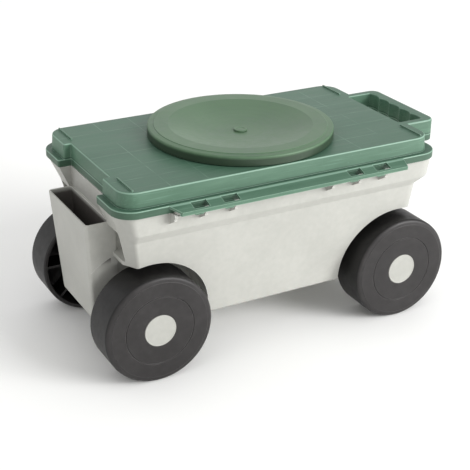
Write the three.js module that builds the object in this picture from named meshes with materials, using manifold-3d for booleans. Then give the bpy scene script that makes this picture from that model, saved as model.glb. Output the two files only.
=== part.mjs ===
// A rolling garden tool cart: a moulded tub on four wheels, with a hinged lid that carries a swivel seat.
// Millimetres, +Z up. X runs from the tool pocket to the pull handle. Lengths are set out from the point
// on the floor midway between the axles, and the finished group is moved so that its box is centred.

import * as THREE from 'three';
import { mergeVertices } from 'three/addons/utils/BufferGeometryUtils.js';
import Module from 'manifold-3d';

const wasm = await Module();
wasm.setup();

// Walls and fits
const WALL = 3;
const FIT = 0.35;
const CORNER_STEPS = 4;
const ROUND_STEPS = 24;

// Wheels and axles
const WHEEL_RADIUS = 80;
const WHEEL_WIDTH = 57.7;
const WHEEL_FACE = 147.7;
const TREAD_WALL = 6;
const AXLE_X = 202;
const AXLE_RADIUS = 5;
const AXLE_HALF_LENGTH = 141;
const HUB_RADIUS = 12;
const CAP_RADIUS = 23.6;
const CAP_PROUD = 0.4;
const RIB_COUNT = 8;

// Tub
const TUB_FLOOR = 66;
const TUB_RIM = 250.5;
const COLLAR_FOOT = 221;
const CHAMFER_FOOT = 209;
const WELL_RADIUS = 91;
const BOSS_RADIUS = 13;
const BOSS_REACH = 86;

// Tool pocket
const POCKET_RIM = 220;
const POCKET_FRONT = -275;
const POCKET_BACK = -228;
const POCKET_HALF = 71;
const POCKET_CORNER = 5;
const NOTCH_DEPTH = 30;

// Recesses beside the tool pocket
const RECESS_BACK = -217.5;
const RECESS_NEAR = 60;
const RECESS_FAR = 101;
const RECESS_FOOT = 176;
const RECESS_HEAD = 217;

// Lid
const LID_FOOT = 251;
const FLANGE_TOP = 262;
const DECK_TOP = 284.8;
const FLANGE_HALF = 145.7;
const DECK_EDGE = 3;
const SEAT_WELL_RADIUS = 110;
const SEAT_WELL_FLOOR = 277;
const HANDLE_END = 297;
const HANDLE_HALF = 80;
const HANDLE_FOOT = 251;
const HANDLE_CORNER = 14;
const FINGER_COUNT = 5;
const FINGER_BULGE = 8;
const GRIP_WIDTH = 19;
const GRIP_SKIN = 12;
const FIN_PLACES = [-231, 229];
const FIN_START = 82;
const FIN_LENGTH = 50;
const FIN_HEIGHT = 2.4;
const RIB_WIDTH = 2.4;
const LONG_RIBS = [-92, -46, 0, 46, 92];
const CROSS_RIBS = [-178, -122, 122, 178];

// Lid hinge
const HINGE_Y = -152.5;
const HINGE_Z = 247.6;
const HINGE_PIN = 2;
const STRIP_EDGE = -162.5;
const STRIP_TOP = 256;
const STRIP_FOOT = 250.8;
const HINGE_PITCH = 45.3;
const HINGE_GROUPS = [-144, 101.5];
const HOOK_WIDTH = 12;
const HOOK_RADIUS = 4.8;
const GUSSET_OFFSETS = [-36.5, 8.5, 53.5];
const GUSSET_WIDTH = 4;
const GUSSET_NOSE = 4.4;
const GUSSET_HEAD = 250.3;
const GUSSET_FOOT = 231;

// Seat
const SEAT_RADIUS = 136.4;
const SEAT_TOP = 301.3;
const DISH_RADIUS = 106;
const DISH_DEPTH = 12.8;
const PIVOT_RADIUS = 4;
const PIVOT_BOSS_RADIUS = 16;
const PIVOT_BOSS_FOOT = 268;
const WASHER_THICKNESS = 2;
const NUT_HEIGHT = 7;
const BOLT_END = 256;

// Plan outlines: the x and y limits of each level
const COLLAR_TOP_PLAN = { x0: -256, x1: 258, y0: -140, y1: 140 };
const COLLAR_FOOT_PLAN = { x0: -243, x1: 254.5, y0: -137, y1: 137 };
const BODY_TOP_PLAN = { x0: -237.4, x1: 237, y0: -130.5, y1: 130.5 };
const BODY_FOOT_PLAN = { x0: -208, x1: 226, y0: -110, y1: 110 };
const SPINE_TOP_PLAN = { x0: -238, x1: 237, y0: -68, y1: 68 };
const SPINE_FOOT_PLAN = { x0: -230, x1: 226, y0: -57, y1: 57 };
const DECK_FOOT_PLAN = { x0: -249.5, x1: 247, y0: -139, y1: 139 };
const DECK_TOP_PLAN = { x0: -247.5, x1: 245, y0: -137, y1: 137 };
const FLANGE_PLAN = { x0: -257.5, x1: 259, y0: -FLANGE_HALF, y1: FLANGE_HALF };
const POCKET_TOP_PLAN = { x0: POCKET_FRONT, x1: POCKET_BACK, y0: -POCKET_HALF, y1: POCKET_HALF };
const POCKET_FOOT_PLAN = { x0: -264, x1: -222, y0: -58.5, y1: 58.5 };
const POCKET_NOTCH = { x0: -300, x1: -237, y0: -70, y1: 70 };
const HANDLE_NOTCH = { x0: 236.5, x1: 300, y0: -68, y1: 68 };

// ---------------------------------------------------------------- solids

function toSolid(geometry) {
  const bare = geometry.clone();
  bare.deleteAttribute('normal');
  bare.deleteAttribute('uv');
  const merged = mergeVertices(bare, 1e-4);
  return new wasm.Manifold(new wasm.Mesh({
    numProp: 3,
    vertProperties: new Float32Array(merged.attributes.position.array),
    triVerts: new Uint32Array(merged.index.array),
  }));
}

function toGeometry(solid) {
  const mesh = solid.getMesh();
  const geometry = new THREE.BufferGeometry();
  geometry.setAttribute('position', new THREE.BufferAttribute(mesh.vertProperties, 3));
  geometry.setIndex(new THREE.BufferAttribute(mesh.triVerts, 1));
  geometry.computeVertexNormals();
  return geometry;
}

function join(solids) {
  return solids.reduce((whole, piece) => whole.add(piece));
}

function grown(plan, by) {
  return { x0: plan.x0 - by, x1: plan.x1 + by, y0: plan.y0 - by, y1: plan.y1 + by };
}

function roundedShape({ x0, x1, y0, y1 }, radius) {
  const shape = new THREE.Shape();
  shape.absarc(x1 - radius, y1 - radius, radius, 0, Math.PI / 2);
  shape.absarc(x0 + radius, y1 - radius, radius, Math.PI / 2, Math.PI);
  shape.absarc(x0 + radius, y0 + radius, radius, Math.PI, Math.PI * 1.5);
  shape.absarc(x1 - radius, y0 + radius, radius, Math.PI * 1.5, Math.PI * 2);
  return shape;
}

// Raises a shape from z0 to z1, and draws its foot in from the limits `top` to the limits `foot`.
function drafted(shape, z0, z1, top, foot) {
  const geometry = new THREE.ExtrudeGeometry(shape, {
    depth: z1 - z0,
    bevelEnabled: false,
    curveSegments: CORNER_STEPS,
  });
  const position = geometry.attributes.position;
  for (let i = 0; i < position.count; i += 1) {
    if (position.getZ(i) < (z1 - z0) / 2) {
      const x = THREE.MathUtils.mapLinear(position.getX(i), top.x0, top.x1, foot.x0, foot.x1);
      const y = THREE.MathUtils.mapLinear(position.getY(i), top.y0, top.y1, foot.y0, foot.y1);
      position.setXY(i, x, y);
    }
  }
  return toSolid(geometry.translate(0, 0, z0));
}

function block(top, foot, z0, z1, radius) {
  return drafted(roundedShape(top, radius), z0, z1, top, foot);
}

function box({ x0, x1, y0, y1 }, z0, z1) {
  const geometry = new THREE.BoxGeometry(x1 - x0, y1 - y0, z1 - z0);
  return toSolid(geometry.translate((x0 + x1) / 2, (y0 + y1) / 2, (z0 + z1) / 2));
}

// A round bar along Y between two places, around the point x, z.
function barAlongY(x, z, radius, y0, y1, steps = ROUND_STEPS) {
  const geometry = new THREE.CylinderGeometry(radius, radius, y1 - y0, steps);
  return toSolid(geometry.translate(x, (y0 + y1) / 2, z));
}

function barAlongX(y, z, radius, x0, x1, steps = 12) {
  const geometry = new THREE.CylinderGeometry(radius, radius, x1 - x0, steps).rotateZ(Math.PI / 2);
  return toSolid(geometry.translate((x0 + x1) / 2, y, z));
}

function barAlongZ(radius, z0, z1, steps = ROUND_STEPS) {
  const geometry = new THREE.CylinderGeometry(radius, radius, z1 - z0, steps).rotateX(Math.PI / 2);
  return toSolid(geometry.translate(0, 0, (z0 + z1) / 2));
}

// A slab whose y, z outline is given, between two places along X.
function sectionAlongX(points, x0, x1) {
  const shape = new THREE.Shape(points.map(([y, z]) => new THREE.Vector2(y, z)));
  const geometry = new THREE.ExtrudeGeometry(shape, { depth: x1 - x0, bevelEnabled: false });
  return toSolid(geometry.rotateX(Math.PI / 2).rotateZ(Math.PI / 2).translate(x0, 0, 0));
}

// A turned piece from a closed outline of radius and height.
function turned(points, steps = ROUND_STEPS) {
  const outline = points.map(([radius, height]) => new THREE.Vector2(radius, height));
  outline.push(outline[0].clone());
  return new THREE.LatheGeometry(outline, steps);
}

// ---------------------------------------------------------------- tub

// The tool pocket seen from above.
function pocketShape(inset) {
  const front = POCKET_FRONT + inset;
  const half = POCKET_HALF - inset;
  const back = inset ? SPINE_TOP_PLAN.x0 - WALL : POCKET_BACK;
  const shape = new THREE.Shape();
  shape.moveTo(back, -half);
  shape.lineTo(back, half);
  shape.lineTo(front + POCKET_CORNER, half);
  shape.quadraticCurveTo(front, half, front, half - POCKET_CORNER);
  shape.lineTo(front, POCKET_CORNER - half);
  shape.quadraticCurveTo(front, -half, front + POCKET_CORNER, -half);
  return shape;
}

// The deep recesses in the tub's end wall, one on each side of the tool pocket.
function pocketRecesses(inset) {
  const recesses = [];
  for (const side of [-1, 1]) {
    const y0 = Math.min(side * RECESS_NEAR, side * RECESS_FAR);
    const y1 = Math.max(side * RECESS_NEAR, side * RECESS_FAR);
    const plan = grown({ x0: -300, x1: RECESS_BACK, y0, y1 }, inset);
    recesses.push(box(plan, RECESS_FOOT - inset, RECESS_HEAD + inset));
  }
  return join(recesses);
}

function wheelWells(radius, inner) {
  const wells = [];
  for (const x of [-AXLE_X, AXLE_X]) {
    for (const side of [-1, 1]) {
      const y0 = Math.min(side * inner, side * 200);
      const y1 = Math.max(side * inner, side * 200);
      wells.push(barAlongY(x, WHEEL_RADIUS, radius, y0, y1, 32));
      wells.push(box({ x0: x - radius, x1: x + radius, y0, y1 }, 0, WHEEL_RADIUS));
    }
  }
  return join(wells);
}

// The tub's solid outline, or with an inset the space inside its walls.
function tubVolume(inset) {
  const plan = (limits) => grown(limits, -inset);
  const floor = TUB_FLOOR + inset;
  const rim = TUB_RIM + inset * 2;
  const collar = block(plan(COLLAR_TOP_PLAN), plan(COLLAR_FOOT_PLAN), COLLAR_FOOT, rim, 26);
  const chamfer = block(plan(COLLAR_FOOT_PLAN), plan(BODY_TOP_PLAN), CHAMFER_FOOT, COLLAR_FOOT, 24);
  const body = block(plan(BODY_TOP_PLAN), plan(BODY_FOOT_PLAN), floor, CHAMFER_FOOT, 22);
  const spine = block(plan(SPINE_TOP_PLAN), plan(SPINE_FOOT_PLAN), floor, CHAMFER_FOOT + 8, 8);
  const notches = [
    box(grown({ ...POCKET_NOTCH, x1: SPINE_TOP_PLAN.x0 }, inset), POCKET_RIM - NOTCH_DEPTH, rim + 10),
    box(grown({ ...HANDLE_NOTCH, x0: SPINE_TOP_PLAN.x1 + 1 }, inset), CHAMFER_FOOT, rim + 10),
  ];
  return collar
    .add(chamfer)
    .add(body)
    .subtract(wheelWells(WELL_RADIUS + inset, 50))
    .subtract(pocketRecesses(inset))
    .add(spine)
    .subtract(join(notches));
}

// Ribs that carry the hinge pins under the lid's strip.
function hingeBracket(base) {
  const pieces = [];
  for (const offset of GUSSET_OFFSETS) {
    const x0 = base + offset - GUSSET_WIDTH / 2;
    const x1 = base + offset + GUSSET_WIDTH / 2;
    pieces.push(barAlongX(HINGE_Y, HINGE_Z, GUSSET_NOSE, x0, x1));
    pieces.push(sectionAlongX([
      [COLLAR_TOP_PLAN.y0 + 1.8, GUSSET_HEAD],
      [HINGE_Y + 1, GUSSET_HEAD],
      [HINGE_Y - 1.5, HINGE_Z - 6.1],
      [COLLAR_FOOT_PLAN.y0 + 0.5, GUSSET_FOOT],
    ], x0, x1));
  }
  const pinStart = base + GUSSET_OFFSETS[0] - 1.5;
  const pinEnd = base + GUSSET_OFFSETS[2] + 1.5;
  pieces.push(barAlongX(HINGE_Y, HINGE_Z, HINGE_PIN, pinStart, pinEnd));
  return join(pieces);
}

function makeTub() {
  const pocket = drafted(pocketShape(0), TUB_FLOOR, POCKET_RIM, POCKET_TOP_PLAN, POCKET_FOOT_PLAN);
  const pocketSpace = drafted(
    pocketShape(WALL),
    TUB_FLOOR + WALL,
    POCKET_RIM + 40,
    POCKET_TOP_PLAN,
    POCKET_FOOT_PLAN,
  );
  let tub = tubVolume(0).add(pocket.subtract(wheelWells(WELL_RADIUS, 64)));
  for (const x of [-AXLE_X, AXLE_X]) {
    tub = tub.add(barAlongY(x, WHEEL_RADIUS, BOSS_RADIUS, -BOSS_REACH, BOSS_REACH, 16));
  }
  let storage = tubVolume(WALL);
  for (const x of [-AXLE_X, AXLE_X]) {
    storage = storage.subtract(barAlongY(x, WHEEL_RADIUS, AXLE_RADIUS + 4.5, -100, 100, 16));
  }
  tub = tub.subtract(storage).subtract(pocketSpace);
  for (const x of [-AXLE_X, AXLE_X]) {
    tub = tub.subtract(barAlongY(x, WHEEL_RADIUS, AXLE_RADIUS + FIT, -100, 100, 16));
  }
  for (const base of HINGE_GROUPS) {
    tub = tub.add(hingeBracket(base));
  }
  return toGeometry(tub);
}

// ---------------------------------------------------------------- lid

// The hand hole: straight at the deck, with a scallop for each finger along the bar.
function gripHole() {
  const near = HANDLE_NOTCH.x0;
  const far = HANDLE_END - GRIP_WIDTH;
  const half = HANDLE_NOTCH.y1;
  const scallop = (2 * half) / FINGER_COUNT;
  const shape = new THREE.Shape();
  shape.moveTo(near, half);
  shape.lineTo(near, -half);
  shape.lineTo(far, -half);
  for (let i = 0; i < FINGER_COUNT; i += 1) {
    const start = -half + i * scallop;
    shape.quadraticCurveTo(far + FINGER_BULGE, start + scallop / 2, far, start + scallop);
  }
  const geometry = new THREE.ExtrudeGeometry(shape, {
    depth: 60,
    bevelEnabled: false,
    curveSegments: CORNER_STEPS,
  });
  return toSolid(geometry.translate(0, 0, 240));
}

function handleVolume(inset) {
  const plan = grown({ x0: 215, x1: HANDLE_END, y0: -HANDLE_HALF, y1: HANDLE_HALF }, -inset);
  return block(plan, plan, HANDLE_FOOT - inset, DECK_TOP - inset, HANDLE_CORNER - inset);
}

function lidVolume(inset) {
  const plan = (limits) => grown(limits, -inset);
  const edge = grown(DECK_TOP_PLAN, -DECK_EDGE);
  const flange = block(plan(FLANGE_PLAN), plan(FLANGE_PLAN), LID_FOOT - inset, FLANGE_TOP - inset, 31);
  const deckTop = DECK_TOP - DECK_EDGE;
  const deck = block(plan(DECK_TOP_PLAN), plan(DECK_FOOT_PLAN), LID_FOOT - inset, deckTop, 25);
  return inset ? flange.add(deck) : flange.add(deck).add(block(edge, DECK_TOP_PLAN, deckTop, DECK_TOP, 23));
}

function hingeStrip() {
  const plate = sectionAlongX([
    [-145, FLANGE_TOP],
    [-146, FLANGE_TOP],
    [STRIP_EDGE, STRIP_TOP],
    [STRIP_EDGE, STRIP_FOOT],
    [STRIP_EDGE + WALL, STRIP_FOOT],
    [STRIP_EDGE + WALL, STRIP_TOP - 2],
    [-145, 259],
  ], -190, 191);
  const skew = new THREE.Shape();
  skew.moveTo(-190, -145);
  skew.lineTo(191, -145);
  skew.lineTo(186, STRIP_EDGE - 1);
  skew.lineTo(-174, STRIP_EDGE - 1);
  const span = new THREE.ExtrudeGeometry(skew, { depth: 30, bevelEnabled: false });
  const strip = plate.intersect(toSolid(span.translate(0, 0, 240)));
  const windows = [];
  for (const base of HINGE_GROUPS) {
    for (const [x0, x1] of [[-11.7, 11.3], [HINGE_PITCH - 12, HINGE_PITCH + 12]]) {
      windows.push(box({ x0: base + x0, x1: base + x1, y0: -159.3, y1: -146 }, 240, 265));
    }
  }
  return strip.subtract(join(windows));
}

// The hooks that snap over the tub's hinge pins.
function hingeHook(centre) {
  const x0 = centre - HOOK_WIDTH / 2;
  const x1 = centre + HOOK_WIDTH / 2;
  const ring = barAlongX(HINGE_Y, HINGE_Z, HOOK_RADIUS, x0, x1);
  const arm = box({ x0, x1, y0: HINGE_Y, y1: -145 }, LID_FOOT + 0.2, 254);
  const bore = barAlongX(HINGE_Y, HINGE_Z, HINGE_PIN + FIT, x0 - 1, x1 + 1);
  const mouth = box({ x0: x0 - 1, x1: x1 + 1, y0: HINGE_Y - 6, y1: HINGE_Y + 6 }, 240, HINGE_Z - 1.3);
  return ring.add(arm).subtract(bore).subtract(mouth);
}

function deckRibs() {
  const ribs = [];
  const half = RIB_WIDTH / 2;
  for (const y of LONG_RIBS) {
    ribs.push(box({ x0: -236, x1: 233, y0: y - half, y1: y + half }, FLANGE_TOP, DECK_TOP - 2));
  }
  for (const x of CROSS_RIBS) {
    ribs.push(box({ x0: x - half, x1: x + half, y0: -135, y1: 135 }, FLANGE_TOP, DECK_TOP - 2));
  }
  return join(ribs).subtract(barAlongZ(PIVOT_BOSS_RADIUS + 6, LID_FOOT, SEAT_WELL_FLOOR));
}

function makeLid() {
  const wellDrum = barAlongZ(SEAT_WELL_RADIUS + WALL, SEAT_WELL_FLOOR - WALL, DECK_TOP - 1, 36);
  const pivotBoss = barAlongZ(PIVOT_BOSS_RADIUS, PIVOT_BOSS_FOOT, SEAT_WELL_FLOOR, 16);
  const hollow = lidVolume(WALL)
    .subtract(box(grown(POCKET_NOTCH, WALL), 200, 300))
    .subtract(box(grown(HANDLE_NOTCH, WALL), 200, 300))
    .subtract(wellDrum)
    .subtract(deckRibs())
    .subtract(pivotBoss);
  const notches = box(POCKET_NOTCH, 200, 300).add(box(HANDLE_NOTCH, 200, 300));
  const gripHalf = HANDLE_NOTCH.y1 + WALL;
  const handleHollow = handleVolume(WALL).subtract(
    box({ x0: 200, x1: HANDLE_END - GRIP_SKIN, y0: -gripHalf, y1: gripHalf }, 200, 300),
  );
  const legLimit = box({ x0: 262, x1: 300, y0: -100, y1: 100 }, 200, 300);
  const handle = handleVolume(0)
    .subtract(gripHole())
    .subtract(handleHollow.intersect(legLimit));
  const fins = [];
  for (const x of FIN_PLACES) {
    for (const y0 of [-FIN_START - FIN_LENGTH, FIN_START]) {
      const plan = { x0: x - 1.2, x1: x + 1.2, y0, y1: y0 + FIN_LENGTH };
      fins.push(box(plan, DECK_TOP - 1, DECK_TOP + FIN_HEIGHT));
    }
  }
  let lid = lidVolume(0).subtract(notches).subtract(hollow);
  lid = lid.add(handle.subtract(hollow)).add(join(fins)).add(hingeStrip());
  lid = lid.subtract(barAlongZ(SEAT_WELL_RADIUS, SEAT_WELL_FLOOR, 300, 36));
  lid = lid.subtract(barAlongZ(PIVOT_RADIUS + FIT, 240, 300, 12));
  for (const base of HINGE_GROUPS) {
    lid = lid.add(hingeHook(base - 3)).add(hingeHook(base + HINGE_PITCH - 3));
  }
  return toGeometry(lid);
}

// ---------------------------------------------------------------- seat

const HUB_FOOT = SEAT_WELL_FLOOR + 2 + 2 * FIT;
const SEAT_HEAD_SEAT = 283.5;
const WASHER_FOOT = PIVOT_BOSS_FOOT - FIT - WASHER_THICKNESS;

function makeSeatDisc() {
  const sphere = (DISH_RADIUS ** 2 + DISH_DEPTH ** 2) / (2 * DISH_DEPTH);
  const dish = (radius) => SEAT_TOP - DISH_DEPTH + sphere - Math.sqrt(sphere ** 2 - radius ** 2);
  const skirtFoot = DECK_TOP + 1;
  const outline = [];
  for (const radius of [8.3, 30, 55, 80, DISH_RADIUS]) {
    outline.push([radius, dish(radius)]);
  }
  outline.push([126, SEAT_TOP], [128, SEAT_TOP - 0.8], [132, SEAT_TOP - 1], [135.2, SEAT_TOP - 2.4]);
  outline.push([SEAT_RADIUS, SEAT_TOP - 5], [SEAT_RADIUS, skirtFoot], [SEAT_RADIUS - WALL, skirtFoot]);
  outline.push([SEAT_RADIUS - WALL, SEAT_TOP - 6], [DISH_RADIUS, SEAT_TOP - WALL - 0.5]);
  for (const radius of [80, 55, 30]) {
    outline.push([radius, dish(radius) - WALL]);
  }
  outline.push([17, dish(17) - WALL], [16, HUB_FOOT], [PIVOT_RADIUS + FIT, HUB_FOOT]);
  outline.push([PIVOT_RADIUS + FIT, SEAT_HEAD_SEAT], [8.3, SEAT_HEAD_SEAT]);
  return turned(outline.reverse(), 36).rotateX(Math.PI / 2);
}

function makeSeatCap() {
  const seatTop = SEAT_TOP - DISH_DEPTH + 0.5;
  return turned([
    [0, seatTop - 1.2],
    [7.8, seatTop - 1.2],
    [7.8, seatTop],
    [10, seatTop],
    [9.6, seatTop + 1.6],
    [8.4, seatTop + 2.2],
    [0, seatTop + 2.6],
  ], 16).rotateX(Math.PI / 2);
}

function makePivotBolt() {
  const head = barAlongZ(7.4, SEAT_HEAD_SEAT + FIT, SEAT_HEAD_SEAT + 3.9, 6);
  return toGeometry(head.add(barAlongZ(PIVOT_RADIUS, BOLT_END, SEAT_HEAD_SEAT + 2, 12)));
}

function makePivotNut() {
  const hexagon = barAlongZ(7.5, WASHER_FOOT - FIT - NUT_HEIGHT, WASHER_FOOT - FIT, 6);
  return toGeometry(hexagon.subtract(barAlongZ(PIVOT_RADIUS + FIT, 250, 270, 12)));
}

function makeRing(outer, inner, z0, z1, steps) {
  return turned([[inner, z0], [outer, z0], [outer, z1], [inner, z1]], steps).rotateX(Math.PI / 2);
}

function makePivotWasher() {
  return makeRing(13, PIVOT_RADIUS + FIT, WASHER_FOOT, WASHER_FOOT + WASHER_THICKNESS, 12);
}

// ---------------------------------------------------------------- wheels

// Outlines run outwards along the axle from the wheel's open inner side, at height 0.
function makeWheel() {
  const face = WHEEL_WIDTH;
  const cupFloor = face - 11.7;
  const faceWall = 3.6;
  const inside = WHEEL_RADIUS - TREAD_WALL;
  const shell = turned([
    [AXLE_RADIUS + FIT, -0.8],
    [HUB_RADIUS, -0.8],
    [HUB_RADIUS, cupFloor - faceWall],
    [CAP_RADIUS + 4, cupFloor - faceWall],
    [CAP_RADIUS + 4, face - faceWall],
    [inside, face - faceWall],
    [inside, 0],
    [WHEEL_RADIUS - 2.5, 0],
    [WHEEL_RADIUS, 3],
    [WHEEL_RADIUS, face - 5.5],
    [WHEEL_RADIUS - 1.8, face - 1.8],
    [WHEEL_RADIUS - 6, face],
    [52.2, face],
    [51.2, face - 1],
    [50.2, face],
    [CAP_RADIUS + FIT, face],
    [CAP_RADIUS + FIT, cupFloor],
    [AXLE_RADIUS + FIT, cupFloor],
  ]);
  let wheel = toSolid(shell);
  for (let i = 0; i < RIB_COUNT; i += 1) {
    const rib = new THREE.BoxGeometry(inside - HUB_RADIUS + 2, 38, 3);
    rib.translate((inside + HUB_RADIUS) / 2, cupFloor - 17.5, 0);
    rib.rotateY(((i + 0.5) * 2 * Math.PI) / RIB_COUNT);
    wheel = wheel.add(toSolid(rib));
  }
  return toGeometry(wheel);
}

function makeHubCap() {
  const face = WHEEL_WIDTH;
  return turned([
    [0, face - 3],
    [19, face - 3],
    [19, face - 9],
    [21, face - 9],
    [21, face - 3],
    [CAP_RADIUS, face - 3],
    [CAP_RADIUS - 0.6, face + CAP_PROUD],
    [0, face + CAP_PROUD],
  ], 24);
}

function makePushNut() {
  const seat = WHEEL_WIDTH - 11.7 + FIT;
  return turned([
    [AXLE_RADIUS + 0.3, seat],
    [9.5, seat],
    [7.5, seat + 3],
    [AXLE_RADIUS + 0.3, seat + 3],
  ], 12);
}

function makeAxleWasher() {
  const inner = BOSS_REACH + FIT - (WHEEL_FACE - WHEEL_WIDTH);
  const outer = -0.8 - FIT;
  return turned([[AXLE_RADIUS + FIT, inner], [11, inner], [11, outer], [AXLE_RADIUS + FIT, outer]], 12);
}

// ---------------------------------------------------------------- assembly

const FINISHES = {
  tub: { color: 0xd8d8d2, roughness: 0.55, metalness: 0 },
  lid: { color: 0x3f6b58, roughness: 0.45, metalness: 0 },
  seat: { color: 0x4a6a48, roughness: 0.45, metalness: 0 },
  wheel: { color: 0x3a383a, roughness: 0.6, metalness: 0 },
  cap: { color: 0xd4d5ce, roughness: 0.5, metalness: 0 },
  nylon: { color: 0xe4e2da, roughness: 0.4, metalness: 0 },
  steel: { color: 0xb4b6b8, roughness: 0.35, metalness: 1 },
};

const cart = new THREE.Group();

function place(parent, name, geometry, finish) {
  const mesh = new THREE.Mesh(geometry, new THREE.MeshStandardMaterial(FINISHES[finish]));
  mesh.name = name;
  parent.add(mesh);
}

place(cart, 'tub', makeTub(), 'tub');
place(cart, 'lid', makeLid(), 'lid');
place(cart, 'seat_disc', makeSeatDisc(), 'seat');
place(cart, 'seat_centre_cap', makeSeatCap(), 'seat');
place(cart, 'seat_pivot_bolt', makePivotBolt(), 'steel');
place(cart, 'seat_glide_ring', makeRing(26, 9, SEAT_WELL_FLOOR + FIT, HUB_FOOT - FIT, 16), 'nylon');
place(cart, 'seat_pivot_washer', makePivotWasher(), 'steel');
place(cart, 'seat_pivot_nut', makePivotNut(), 'steel');

for (const [end, x] of [['rear', -AXLE_X], ['front', AXLE_X]]) {
  const axle = new THREE.CylinderGeometry(AXLE_RADIUS, AXLE_RADIUS, 2 * AXLE_HALF_LENGTH, 12);
  place(cart, `${end}_axle`, axle.translate(x, 0, WHEEL_RADIUS), 'steel');
  for (const [side, turn] of [['left', 0], ['right', Math.PI]]) {
    const corner = new THREE.Group();
    corner.position.set(x, Math.cos(turn) * (WHEEL_FACE - WHEEL_WIDTH), WHEEL_RADIUS);
    corner.rotation.z = turn;
    place(corner, `${end}_${side}_wheel`, makeWheel(), 'wheel');
    place(corner, `${end}_${side}_hub_cap`, makeHubCap(), 'cap');
    place(corner, `${end}_${side}_push_nut`, makePushNut(), 'steel');
    place(corner, `${end}_${side}_axle_washer`, makeAxleWasher(), 'nylon');
    cart.add(corner);
  }
}

cart.position.set(
  (AXLE_X + WHEEL_RADIUS - HANDLE_END) / 2,
  -(STRIP_EDGE + WHEEL_FACE + CAP_PROUD) / 2,
  0,
);

export default cart;
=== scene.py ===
"""Looks of a rolling garden tool cart: a moulded tub on four wheels, with a hinged lid and a swivel seat.

Pieces are drawn in millimetres, set out from the floor point midway between the two axles: X runs from the
tool pocket to the pull handle, Y across the cart and Z up. `finished` moves each one into the frame's metres.
"""

from math import asin, atan2, cos, pi, radians, sin, sqrt, tan

import bmesh
import bpy
from mathutils import Matrix, Vector


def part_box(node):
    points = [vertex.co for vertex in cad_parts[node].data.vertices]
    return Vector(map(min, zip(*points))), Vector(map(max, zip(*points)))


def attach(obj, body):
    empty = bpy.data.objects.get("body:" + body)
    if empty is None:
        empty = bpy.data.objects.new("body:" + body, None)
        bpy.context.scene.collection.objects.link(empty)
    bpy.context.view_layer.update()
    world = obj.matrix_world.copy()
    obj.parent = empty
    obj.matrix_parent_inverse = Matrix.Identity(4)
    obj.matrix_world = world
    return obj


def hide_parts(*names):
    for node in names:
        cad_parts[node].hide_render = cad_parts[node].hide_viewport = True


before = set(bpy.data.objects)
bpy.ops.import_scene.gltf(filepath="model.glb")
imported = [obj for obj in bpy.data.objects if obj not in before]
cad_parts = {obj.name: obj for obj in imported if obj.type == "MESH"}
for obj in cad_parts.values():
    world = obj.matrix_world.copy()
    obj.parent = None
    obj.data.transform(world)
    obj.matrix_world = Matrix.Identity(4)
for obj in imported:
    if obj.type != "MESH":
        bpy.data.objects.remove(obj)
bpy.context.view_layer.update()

# ------------------------------------------------------------------ sizes

MM = 0.001


def node_span(name):
    """Lowest and highest corner of a CAD node, in millimetres."""
    low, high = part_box(name)
    return low / MM, high / MM


rear_axle_low, rear_axle_high = node_span("rear_axle")
front_axle_low, front_axle_high = node_span("front_axle")
wheel_low, wheel_high = node_span("front_left_wheel")
rear_axle = (rear_axle_low + rear_axle_high) / 2
front_axle = (front_axle_low + front_axle_high) / 2
ORIGIN = Vector(((rear_axle.x + front_axle.x) / 2, rear_axle.y, 0))
PLACE = Matrix.Scale(MM, 4) @ Matrix.Translation(ORIGIN)

# Walls and roundness
WALL = 3
ARC_STEPS = 8
TURNED_STEPS = 96
SHARP_ANGLE = radians(32)

# Wheels
AXLE_X = (front_axle.x - rear_axle.x) / 2
AXLE_Z = rear_axle.z
WHEEL_RADIUS = (wheel_high.z - wheel_low.z) / 2
WHEEL_FACE = wheel_high.y - ORIGIN.y
WHEEL_INNER_FACE = 90
WHEEL_WIDTH = WHEEL_FACE - WHEEL_INNER_FACE
AXLE_BORE = 5.35
HUB_RADIUS = 12
CAP_RADIUS = 23.6
CUP_DEPTH = 11.7
FACE_WALL = 3.6
TREAD_WALL = 6
GROOVE_RADIUS = 51.2
WHEEL_RIBS = 8

# Tub
TUB_FLOOR = 66
TUB_RIM = 250.5
COLLAR_FOOT = 221
CHAMFER_FOOT = 209
POCKET_RIM = 220
POCKET_END_LEAN = 0.065
POCKET_SIDE_LEAN = 0.0735
WELL_RADIUS = 91
FENDER_RADIUS = 97
RECESS_BACK = -217.5
RECESS_NEAR = 60
RECESS_FAR = 104
RECESS_HEAD = 217
BOSS_RADIUS = 13
BOSS_REACH = 86

# Lid
LID_FOOT = 251
FLANGE_TOP = 262
DECK_TOP = 284.8
RIB_PITCH = 46
CROSS_RIBS = (122, 178)
SEAT_WELL_RADIUS = 110
SEAT_WELL_FLOOR = 277
HANDLE_END = 297
HANDLE_HALF = 80
HANDLE_FOOT = 251
GRIP_NEAR = 236.5
GRIP_FAR = 278
GRIP_HALF = 68
FINGER_DEPTH = 4
FINGER_COUNT = 5
NOTCH_X = -237
NOTCH_HALF = 70

# Hinge along the lid's long edge
HINGE_Y = -152.5
HINGE_Z = 247.6
HINGE_PIN = 2
STRIP_EDGE = -162.5
STRIP_TOP = 256
STRIP_FOOT = 250.8
HINGE_PITCH = 45.3
HINGE_GROUPS = (-144, 101.5)
GUSSET_PITCH = 45

# Seat
SEAT_RADIUS = 136.4
SEAT_TOP = 301.3
DISH_RADIUS = 106
DISH_DEPTH = 12.8
STEP_RADIUS = 128
PIVOT_BORE = 4.35

# ------------------------------------------------------------------ outlines


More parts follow.
